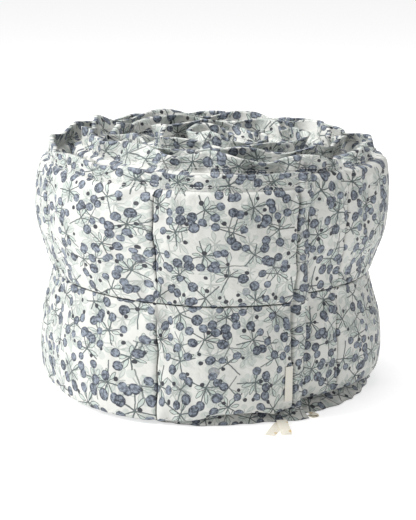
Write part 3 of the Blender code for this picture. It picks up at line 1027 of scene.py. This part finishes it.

# %% [markdown]
# ## Printed cotton
# On the ground colour lie, from below: ghost leaves so pale that they only tint the cloth, the
# outlined leaves, the stems, the dots and the berries. Each colour is uneven, as dye is on cotton.
# Weave, a fine crinkle and broad rumples feed the bump. The surface is rough, with a little sheen
# from loose fibres. Cloth with other cloth close in front is painted darker: painted crease shade.

# %% Printed cotton
GROUND = (0.665, 0.66, 0.625), (0.56, 0.585, 0.555)  # a pair of colours is mixed by noise
GHOST_LEAF, GHOST_LINE = (0.38, 0.44, 0.41), (0.19, 0.24, 0.225)
LEAF, LEAF_LINE = (0.46, 0.53, 0.49), (0.062, 0.083, 0.084)
STEM = (0.120, 0.155, 0.155), (0.020, 0.030, 0.032)
DOT = (0.010, 0.012, 0.018), (0.028, 0.032, 0.044)
BERRY = (0.245, 0.285, 0.342), (0.018, 0.025, 0.040)
THREAD_GREY = (0.45, 0.45, 0.45)
# Columns: cell in metres, shift, arms with a berry, arms with a leaf. A row's number is its seed.
SPRIG_LAYERS = (
    (0.052, (0.13, 0.31, 0.0), 4.0, 7.0), (0.052, (0.63, 0.81, 0.0), 4.0, 7.0),
    (0.047, (0.4, 0.2, 0.0), 3.0, 6.0),
    (0.034, (0.2, 0.7, 0.0), 5.0, 6.0), (0.041, (0.7, 0.1, 0.0), 5.0, 7.0))
GROUND_BLOT, GHOST_FILL, GHOST_DRAWN = 0.5, 0.42, 0.5  # how strong each layer prints
LEAF_FILL, LEAF_DRAWN, STEM_DRAWN, SMALL_SHARE = 0.8, 0.92, 0.95, 0.8
BERRY_TONE, BERRY_BLOT, BERRY_BASE, BERRY_MOTTLE = 0.9, 1.1, -0.78, 0.80
MOTTLE_STEP, THREAD_SHARE, THREAD_COUNT = (0.38, 0.60), 0.10, 2200.0
# Noise: its scale, to the metre, and its detail. Bumps: their strength and their depth in metres.
WOBBLE, WASH, BLOT = (260.0, 2.0), (330.0, 3.0), (95.0, 2.0)
CRINKLE, RUMPLE = (130.0, 3.0), (42.0, 2.0)
THREAD_BUMP, CRINKLE_BUMP, RUMPLE_BUMP = (0.35, 0.0001), (0.6, 0.0018), (0.5, 0.0050)
BLEED = 0.0012  # the edges of the print wander this far, in metres
DOT_SCALE, DOT_HALF, DOT_EDGE, DOT_GAPS = 54.0, (0.035, 0.105), 0.012, (0.30, 0.31)
# Painted shade: an occlusion node darkens the colour where other cloth stands this near in front,
# standing in for the shadow in creases and hollows.
CREASE_REACH, CREASE_STEP = 0.009, (0.13, 0.60)  # cloth this near in front darkens a point
PAINTED_CREASE_SHADE, NO_SHADE = (0.22, 0.22, 0.22), (1.0, 1.0, 1.0)


def new_material(name, **values):
    """A material and its shader, whose sockets get these values."""
    material = bpy.data.materials.new(name)
    material.use_nodes = True
    shader = material.node_tree.nodes["Principled BSDF"]
    for label, value in values.items():
        shader.inputs[label.replace("_", " ")].default_value = value
    return material, shader


def cloth_start(name, roughness, sheen, gloss):
    """A new material with its shader, and the flat place of each point."""
    material, shader = new_material(
        name, Roughness=roughness, Sheen_Weight=sheen, Specular_IOR_Level=gloss)
    wiring = Wiring(material.node_tree)
    flat = wiring.node("ShaderNodeUVMap", uv_map="flat").outputs["UV"]
    return material, wiring, shader, flat


def placed(wiring, group, **inputs):
    """A group node with its own values."""
    inputs = {label.replace("_", " "): value for label, value in inputs.items()}
    return wiring.node("ShaderNodeGroup", inputs, node_tree=group).outputs


def dotted(wiring, spot):
    """1 on the loose dots of the print."""
    inputs = {"Vector": spot, "Scale": DOT_SCALE, "Randomness": 0.9}
    dots = wiring.node("ShaderNodeTexVoronoi", inputs, voronoi_dimensions="2D").outputs
    rolled = wiring.parts(dots["Color"])
    size = wiring.times_plus(rolled["Y"], *DOT_HALF)
    inside = wiring.drop(wiring.minus(dots["Distance"], size), -DOT_EDGE, DOT_EDGE)
    return wiring.times(inside, wiring.step(rolled["X"], *DOT_GAPS))


def printed(wiring, flat):
    """The colour of the print, from the ground up to the berries."""
    times, times_plus, mix = wiring.times, wiring.times_plus, wiring.mix
    wobble = wiring.noise(flat, *WOBBLE)["Color"]
    spread = wiring.vector("MULTIPLY_ADD", wobble, (BLEED, BLEED, 0.0), flat)
    wash = wiring.noise(flat, *WASH, Roughness=0.65)["Fac"]
    blot = wiring.noise(flat, *BLOT)["Fac"]
    one, two, small, ghost, pale = (
        placed(wiring, sprigs, Place=spread, Cell=cell, Shift=shift, Seed=1.0 + row, Arms=arms,
               Leaf_Arms=leaf_arms)
        for row, (cell, shift, arms, leaf_arms) in enumerate(SPRIG_LAYERS))
    colour = mix(times(blot, GROUND_BLOT), *GROUND)
    for layer in (ghost, pale):
        filled = wiring.sum("MAXIMUM", layer["Leaf"], layer["Berry"])
        colour = mix(times(filled, GHOST_FILL), colour, GHOST_LEAF)
        drawn = wiring.sum("MAXIMUM", layer["Outline"], layer["Stem"])
        colour = mix(times(drawn, GHOST_DRAWN), colour, GHOST_LINE)
    for layer, strength in ((small, SMALL_SHARE), (one, 1.0), (two, 1.0)):
        colour = mix(times(layer["Leaf"], LEAF_FILL * strength), colour, LEAF)
        colour = mix(times(layer["Outline"], LEAF_DRAWN * strength), colour, LEAF_LINE)
        colour = mix(times(layer["Stem"], STEM_DRAWN * strength), colour, mix(blot, *STEM))
    colour = mix(dotted(wiring, spread), colour, mix(wash, *DOT))
    mottle = wiring.step(wash, *MOTTLE_STEP)
    for layer in (small, one, two):
        own = times_plus(layer["Tone"], BERRY_TONE, times_plus(blot, BERRY_BLOT, BERRY_BASE))
        berry = mix(times_plus(mottle, BERRY_MOTTLE, own, clamp=True), *BERRY)
        colour = mix(layer["Berry"], colour, berry)
    return colour


def make_printed_cotton():
    material, wiring, shader, flat = cloth_start("printed_cotton", 0.58, 0.06, 0.34)
    colour = printed(wiring, flat)
    threads = placed(wiring, weave, Place=flat, Threads=THREAD_COUNT)
    colour = wiring.mix(wiring.times(threads["Streak"], THREAD_SHARE), colour, THREAD_GREY)
    # Painted shade: the print's colour is multiplied darker where other cloth is near, as shadow in a
    # crease would make it.
    nearby = wiring.node("ShaderNodeAmbientOcclusion", {"Distance": CREASE_REACH}, samples=8)
    shade = wiring.mix(wiring.step(nearby.outputs["AO"], *CREASE_STEP), PAINTED_CREASE_SHADE, NO_SHADE)
    shaded = wiring.node("ShaderNodeMix", {0: 1.0, 6: colour, 7: shade},
                         data_type="RGBA", blend_type="MULTIPLY").outputs[2]
    wiring.join(shaded, shader.inputs["Base Color"])

    crinkle = wiring.noise(flat, *CRINKLE, Roughness=0.6)["Fac"]
    fine = wiring.bump(threads["Height"], *THREAD_BUMP)
    soft = wiring.bump(crinkle, *CRINKLE_BUMP, Normal=fine)
    rumple = wiring.noise(flat, *RUMPLE, Distortion=0.8)["Fac"]
    wiring.join(wiring.bump(rumple, *RUMPLE_BUMP, Normal=soft), shader.inputs["Normal"])
    return material


printed_cotton = make_printed_cotton()
strip.data.materials.append(printed_cotton)
print("printed cotton:", len(printed_cotton.node_tree.nodes), "nodes")

# %% [markdown]
# ## Tape and label cloth
# The ties are cream cotton tape in twill with small ochre marks, and the label is a fine woven
# ribbon. Both use the weave group with their own values.

# %% Tape and label finishes
PLAIN_BLOT, PLAIN_MIX, PLAIN_BUMP = (160.0, 3.0), 0.5, 0.6
MARK_SCALE, MARK_EDGE, MARK_GAPS, MARK_SHARE = 95.0, (0.30, 0.16), (0.55, 0.6), 0.8


def make_plain_cloth(name, colours, threads, twill, depth, marks=None):
    """Plain woven cloth between two colours, with or without small marks."""
    material, wiring, shader, flat = cloth_start(name, 0.82, 0.10, 0.25)
    times, step = wiring.times, wiring.step
    cloth = placed(wiring, weave, Place=flat, Threads=threads, Twill=twill)
    blot = wiring.noise(flat, *PLAIN_BLOT)["Fac"]
    uneven = wiring.times_plus(cloth["Streak"], PLAIN_MIX, times(blot, PLAIN_MIX))
    colour = wiring.mix(uneven, *colours)
    if marks:
        inputs = {"Vector": flat, "Scale": MARK_SCALE}
        spots = wiring.node("ShaderNodeTexVoronoi", inputs, voronoi_dimensions="2D").outputs
        rolled = wiring.parts(spots["Color"])
        mark = times(step(spots["Distance"], *MARK_EDGE), step(rolled["X"], *MARK_GAPS))
        colour = wiring.mix(times(mark, MARK_SHARE), colour, marks)
    wiring.join(colour, shader.inputs["Base Color"])
    wiring.join(wiring.bump(cloth["Height"], PLAIN_BUMP, depth), shader.inputs["Normal"])
    return material


CREAM, OCHRE = ((0.86, 0.83, 0.74), (0.74, 0.69, 0.57)), (0.62, 0.42, 0.16)
ECRU = (0.74, 0.72, 0.66), (0.64, 0.61, 0.54)
PALE_GREY = (0.82, 0.83, 0.80), (0.72, 0.73, 0.70)
tape_cloth = make_plain_cloth("cotton_tape", CREAM, 1500.0, 1.0, 0.0002, marks=OCHRE)
label_cloth = make_plain_cloth("woven_label", ECRU, 2600.0, 0.0, 0.0001)
thread_cloth = make_plain_cloth("sewing_thread", PALE_GREY, 3000.0, 1.0, 0.0001)
print("tape, label and thread finished")

# %% [markdown]
# ## Stitches
# Every seam is a line of machine stitches. Each stitch is a short thread with pointed ends that
# dips into the cloth. They are made as one joined mesh: a loop walks along each line and sets a
# small spindle on the cloth's surface every three and a half millimetres.

# %% Stitches
STITCH, STITCH_GAP, SEAM_MARGIN = 0.0029, 0.0006, 0.002
THREAD_HALF, SHOULDERS = 0.00032, (0.2, 0.8)
HEM_ROWS = (0.2, 2.0)  # levels above the top seam's first, for its two rows of stitches
MIDDLE_ROW, BOTTOM_ROW = -0.15, 0.0  # the same for the two seams below it
STITCHED_CELLS = 8  # these two end so many cells past the outer one, where they are covered
THREAD_MAP = 4  # the weave is this many times finer on the thread
SPINDLE_FACES = ([0, 2, 1], [0, 3, 2], [0, 4, 3], [0, 1, 4], [1, 2, 6, 5], [2, 3, 7, 6],
                 [3, 4, 8, 7], [4, 1, 5, 8], [9, 5, 6], [9, 6, 7], [9, 7, 8], [9, 8, 5])


def on_face(face, where, level):
    """A point of a face at a place along the strip and a level, which may fall between two."""
    low = min(int(level), LEVELS - 2)
    line = between(face[:, low], face[:, low + 1], level - low)
    return np.stack([np.interp(where, along, line[:, axis]) for axis in range(3)], axis=-1)


def spindle(start, end, outwards):
    """Ten points of a stitch: two tips and two raised rings of four."""
    heading = end - start
    side = np.cross(heading, outwards)
    side /= np.linalg.norm(side)
    points = [start]
    for share in SHOULDERS:
        middle = start + heading * share + outwards * THREAD_HALF
        for reach in (side, outwards, -side, -outwards):
            points.append(middle + reach * THREAD_HALF)
    return points + [end]


def stitch_line(face, sign, level, end):
    """Stitches along one level of a face; the sign says which way the face looks."""
    starts = np.arange(SEAM_MARGIN, end - STITCH, STITCH + STITCH_GAP)
    angle = bearing(turn_at(starts))
    outs = sign * np.stack([np.sin(angle), -np.cos(angle), 0 * angle], axis=-1)
    ends = on_face(face, starts, level), on_face(face, starts + STITCH, level)
    return [spindle(first, last, out) for first, last, out in zip(*ends, outs)]


def seams_of_stitches():
    """All the stitches, line after line."""
    first = [int(np.argmax(ZONE == zone)) for zone in range(4)]
    stitches = []
    for face_points, sign in ((outer_face, 1), (inner_face, -1)):
        for row in HEM_ROWS:
            stitches += stitch_line(face_points, sign, first[3] + row, LENGTH - SEAM_MARGIN)
    covered = END_HEM + OUTER_CELL + STITCHED_CELLS * CELL
    for level in (first[2] + MIDDLE_ROW, first[1] + BOTTOM_ROW):
        stitches += stitch_line(outer_face, 1, level, covered)
    return np.array(stitches)


stitches = seams_of_stitches()
stitch_points = stitches.reshape(-1, 3)
stitch_faces = [[10 * number + corner for corner in loop]
                for number in range(len(stitches)) for loop in SPINDLE_FACES]
stitch_flat = stitch_points[:, :2] * THREAD_MAP
seam_stitches = mesh_object("seam_stitches", stitch_points, stitch_faces, stitch_flat)
seam_stitches.data.materials.append(thread_cloth)
print(len(stitches), "stitches")

# %% [markdown]
# ## Ties and label
# A tape is a ribbon: a thin flat section swept along a route. The ribbon maker takes the route's
# points and the direction across it, and thins the tape a little at its edges. The two tie ends
# come from one place under the bottom hem, the right one over the left one. The loop is the same
# tape folded back on itself. The label is a folded ribbon whose two layers lie on the outer cell,
# blank.

# %% Ribbon maker
TAPE_WIDTH, TAPE_THICK, GAP = 0.012, 0.0016, 0.0004
TAPE_DRAWN = 0.0012  # the tape is a little thinner than the room that its solid takes up
RIBBON_STEPS, EDGE_POWER, EDGE_LEAST = 8, 6, 0.25  # across, and how the section thins
BACK_PLACE = 0.05  # the back of a tape lies this far from its front on the flat map


def ribbon(name, route, across):
    """A tape as a closed thin sheet along a route, square to the direction across."""
    route = np.array(route)
    heading = np.gradient(route, axis=0)
    heading /= np.linalg.norm(heading, axis=1)[:, None]
    across = across / np.linalg.norm(across)
    lift = np.cross(heading, across)
    shares = np.linspace(-0.5, 0.5, RIBBON_STEPS + 1)
    steps = np.linalg.norm(np.diff(route, axis=0), axis=1)
    travelled = np.concatenate([[0], np.cumsum(steps)])
    edge = np.sqrt(np.maximum(1 - (2 * np.abs(shares)) ** EDGE_POWER, EDGE_LEAST))
    points, flat = [], []
    for number, point in enumerate(route):
        for side in (1, -1):
            for share, thinned in zip(shares[::side], edge[::side]):
                sideways = across * TAPE_WIDTH * share
                points.append(point + sideways + lift[number] * side * TAPE_DRAWN / 2 * thinned)
                flat.append((travelled[number], TAPE_WIDTH * share + BACK_PLACE * (side < 0)))
    size = 2 * len(shares)
    last = (len(route) - 1) * size
    faces = [[ring + spot, ring + (spot + 1) % size, ring + size + (spot + 1) % size,
              ring + size + spot] for ring in range(0, last, size) for spot in range(size)]
    faces += [list(range(size))[::-1], list(range(last, last + size))]
    points = np.array(points)
    piece = mesh_object(name, points, facing_out(points, faces), np.array(flat))
    piece.data.materials.append(tape_cloth)
    piece.data.set_sharp_from_angle(angle=math.radians(60))
    return piece

# %% Tie ends
# Columns: piece, solid, direction in degrees, length, and 0 for the lower or 1 for the upper tape.
TAILS = (("tie_left", "tie_tail_left", -16.0, 0.047, 0),
         ("tie_right", "tie_tail_right", 5.0, 0.045, 1))
TAIL_ROOT, TAIL_STEPS = 0.0376, 40
DROP_FROM, DROP_TO = 0.80, 0.97  # where the upper tape comes down, as shares of its length
RIPPLE, RIPPLE_TURN, RIPPLE_START = 0.0002, 17, 4


def tail_route(aim, length, layer):
    """Points from under the bottom hem along the floor; the upper tape comes down near its end."""
    turn = float(turn_at(TAIL_ROOT))
    aim = math.radians(aim)
    ahead = np.array([math.sin(aim), -math.cos(aim), 0.0])
    slant = float(bearing(turn)) - aim
    corner = abs(math.sin(slant)) * TAPE_WIDTH / 2
    foot = float(middle_radius(turn, 0.0)) + float(foot_push(turn)) + FOOT_HALF
    root = place(turn, foot, TAPE_THICK / 2) + ahead * (GAP + corner) / math.cos(slant)
    share = np.linspace(0.0, 1.0, TAIL_STEPS + 1)
    lift = layer * (TAPE_THICK + GAP) * (1 - smooth((share - DROP_FROM) / (DROP_TO - DROP_FROM)))
    ripple = RIPPLE * np.sin(share * RIPPLE_TURN + layer) * smooth(share * RIPPLE_START)
    route = root + ahead * length * share[:, None]
    route[:, 2] += lift + np.abs(ripple)
    return route, np.cross(ahead, (0, 0, 1))


ties = []
for name, node, aim, length, layer in TAILS:
    ties.append((ribbon(name, *tail_route(aim, length, layer)), node, length))
print("tie ends:", [tie.name for tie, _, _ in ties])

# %% Tie loop
LOOP_REACH, LOOP_HEIGHT, LOOP_STEPS, SIDE_STEPS = 0.009, 0.0048, 12, 5


def loop_route():
    """Out from the end of the hem, round a bend and back over itself."""
    foot = float(middle_radius(0.0, 0.0)) + float(foot_push(0.0))
    outwards = place(0.0, 1.0, 0.0) - place(0.0, 0.0, 0.0)
    ahead = np.array([-outwards[1], outwards[0], 0.0])
    half = np.array([0.0, 0.0, (LOOP_HEIGHT - TAPE_THICK) / 2])
    start = place(0.0, foot, TAPE_THICK / 2) + ahead * GAP
    bend = start + ahead * (LOOP_REACH - GAP - LOOP_HEIGHT / 2)
    route = [between(start, bend, share) for share in np.linspace(0, 1, SIDE_STEPS)]
    for step in range(1, LOOP_STEPS):
        angle = math.pi * step / LOOP_STEPS
        route.append(bend + half + ahead * half[2] * math.sin(angle) - half * math.cos(angle))
    route += [between(bend, start, share) + 2 * half for share in np.linspace(0, 1, SIDE_STEPS)]
    return route, outwards


tie_loop = ribbon("tie_loop_end", *loop_route())
print("tie loop:", len(tie_loop.data.vertices), "points")

# %% Label
LABEL_WIDTH, LABEL_LAYER, LABEL_ROOT = 0.0088, 0.00045, 0.0032
LABEL_LOW, LABEL_HIGH, LABEL_ROWS = 0.0275, 0.0645, 20
FOLD_FROM, FOLD_OUT, FOLD_ENDS = 0.94, 0.06, 0.3  # the fold, as shares of the width, and its angle
FOLD_IN = 0.02  # how far the inside of the fold stays behind its outside, as a share
LAYER_SPREAD, LABEL_CLEAR, FOLD_CLEAR = 1.2, 0.0003, 0.0001
LAYER_STEPS, FOLD_STEPS, LABEL_BACK = 8, 5, 0.02


def label_line(where, outwards):
    """A smooth line up the outer cell that rests on the highest of the cloth's bumps."""
    wanted = np.linspace(LABEL_LOW, LABEL_HIGH, LABEL_ROWS)
    heights_there = [np.interp(where, along, heights[:, level]) for level in range(LEVELS)]
    levels = np.interp(wanted, heights_there, np.arange(LEVELS))
    points = np.array([on_face(outer_face, where, level) for level in levels])
    line = np.stack([np.polyval(np.polyfit(wanted, part, 2), wanted) for part in points.T], axis=-1)
    return line + outwards * ((points - line) @ outwards).max()


def label_section():
    """The middle of the folded label from seam to fold and back: share of the width, and layer."""
    turns = np.linspace(FOLD_ENDS, math.pi - FOLD_ENDS, FOLD_STEPS)
    bend = [(FOLD_FROM + FOLD_OUT * math.sin(turn), -math.cos(turn)) for turn in turns]
    there = [(share, -1) for share in np.linspace(0, FOLD_FROM, LAYER_STEPS)]
    return there + bend + [(share, 1) for share in np.linspace(FOLD_FROM, 0, LAYER_STEPS)]


def make_label():
    """Two layers of ribbon joined by a fold at the far side from the seam."""
    angle = bearing(turn_at(END_HEM))
    outwards = np.array([math.sin(angle), -math.cos(angle), 0.0])
    root, tip = (label_line(END_HEM + LABEL_ROOT + width, outwards) for width in (0.0, LABEL_WIDTH))
    across = (tip - root) / np.linalg.norm(tip - root, axis=1, keepdims=True)
    lift = GAP + LABEL_CLEAR + LABEL_LAYER + FOLD_CLEAR
    rows, flat = [], []
    for inner in (1, -1):
        spread = LABEL_LAYER * LAYER_SPREAD + inner * LABEL_LAYER / 2
        for share, layer in label_section()[::inner]:
            reach = LABEL_WIDTH * (share if share <= FOLD_FROM else share - (1 - inner) * FOLD_IN)
            rows.append(root + reach * across + outwards * (lift + layer * spread))
            flat.append(share * LABEL_WIDTH + LABEL_BACK * (layer > 0))
    count, tall = len(rows), LABEL_ROWS
    points = np.array(rows).reshape(-1, 3)
    faces = [[row * tall + up, (row + 1) % count * tall + up, (row + 1) % count * tall + up + 1,
              row * tall + up + 1] for row in range(count) for up in range(tall - 1)]
    for end in (0, tall - 1):
        for row in range(count // 2 - 1):
            cap = [other * tall + end for other in (row, row + 1, count - 2 - row, count - 1 - row)]
            faces.append(cap if end == 0 else cap[::-1])
    up = np.tile(np.linspace(0, LABEL_HIGH - LABEL_LOW, tall), count)
    places = np.stack([np.repeat(flat, tall), up], axis=-1)
    piece = mesh_object("blank_label", points, facing_out(points, faces), places)
    piece.data.materials.append(label_cloth)
    piece.data.set_sharp_from_angle(angle=math.radians(50))
    return piece


label = make_label()
print("label:", len(label.data.vertices), "points")

# %% [markdown]
# ## Floor and light
# A white floor runs far behind the roll, as in a photo studio, and glows a little. One large soft
# lamp stands high on the left, a second one hangs over the roll, and the pale surroundings fill the
# shadows. So the left and the top are bright, and the right side turns grey.

# %% Floor, lamp and surroundings
FLOOR_HALF, FLOOR_BACK, FLOOR_LEVEL = 6.0, 14.0, -0.0007
FLOOR_GLOW = 0.60  # the floor is lit from below, like a light table
WHITE, FLOOR_GREY = (1.0, 1.0, 1.0, 1.0), (0.65, 0.65, 0.65, 1.0)
# Columns: name, place from the pole, size and power. The second lamp hangs over the roll.
LAMPS = (("side_lamp", (-2.39, -0.87, 1.78), 1.2, 72.0), ("top_lamp", (-0.3, 0.2, 2.6), 1.4, 50.0))
LAMP_AIM = Vector((0, 0, 0.15))  # the middle of the roll, from the pole's foot
SURROUND_STRENGTH = 0.44


def make_floor():
    corners = ((-FLOOR_HALF, -FLOOR_HALF), (FLOOR_HALF, -FLOOR_HALF),
               (FLOOR_HALF, FLOOR_BACK), (-FLOOR_HALF, FLOOR_BACK))
    mesh = bpy.data.meshes.new("floor")
    mesh.from_pydata([(*corner, FLOOR_LEVEL) for corner in corners], [], [(0, 1, 2, 3)])
    material, _ = new_material(
        "white_floor", Base_Color=FLOOR_GREY, Emission_Color=WHITE, Emission_Strength=FLOOR_GLOW,
        Roughness=0.9, Specular_IOR_Level=0.0)
    mesh.materials.append(material)
    return in_scene("floor", mesh)


def make_lamp(name, from_pole, size, power):
    lamp = in_scene(name, bpy.data.lights.new(name, "AREA"))
    lamp.data.size = size
    lamp.data.energy = power
    lamp.location = POLE + Vector(from_pole)
    lamp.rotation_euler = (LAMP_AIM - Vector(from_pole)).to_track_quat("-Z", "Y").to_euler()


def make_surroundings():
    world = bpy.data.worlds.new("studio")
    world.use_nodes = True
    back = world.node_tree.nodes["Background"]
    back.inputs["Color"].default_value = WHITE
    back.inputs["Strength"].default_value = SURROUND_STRENGTH
    bpy.context.scene.world = world


floor = make_floor()
for lamp_row in LAMPS:
    make_lamp(*lamp_row)
make_surroundings()
bpy.context.scene.view_settings.view_transform = "Standard"
print("floor, two lamps and surroundings made")

# %% [markdown]
# ## Riding on the frame
# Each piece rides on the root body, and the solids that the pieces stand for are hidden.

# %% Ride and replace
for piece, slot in ((strip, "printed_cotton"), (seam_stitches, "printed_cotton"), (label, "woven_label"),
                    (tie_loop, "cotton_tape"), (ties[0][0], "cotton_tape"), (ties[1][0], "cotton_tape")):
    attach(piece, "root")
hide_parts("padded_strip")
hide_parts("label")
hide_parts("tie_loop")
for tie, node, length in ties:
    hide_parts(node)
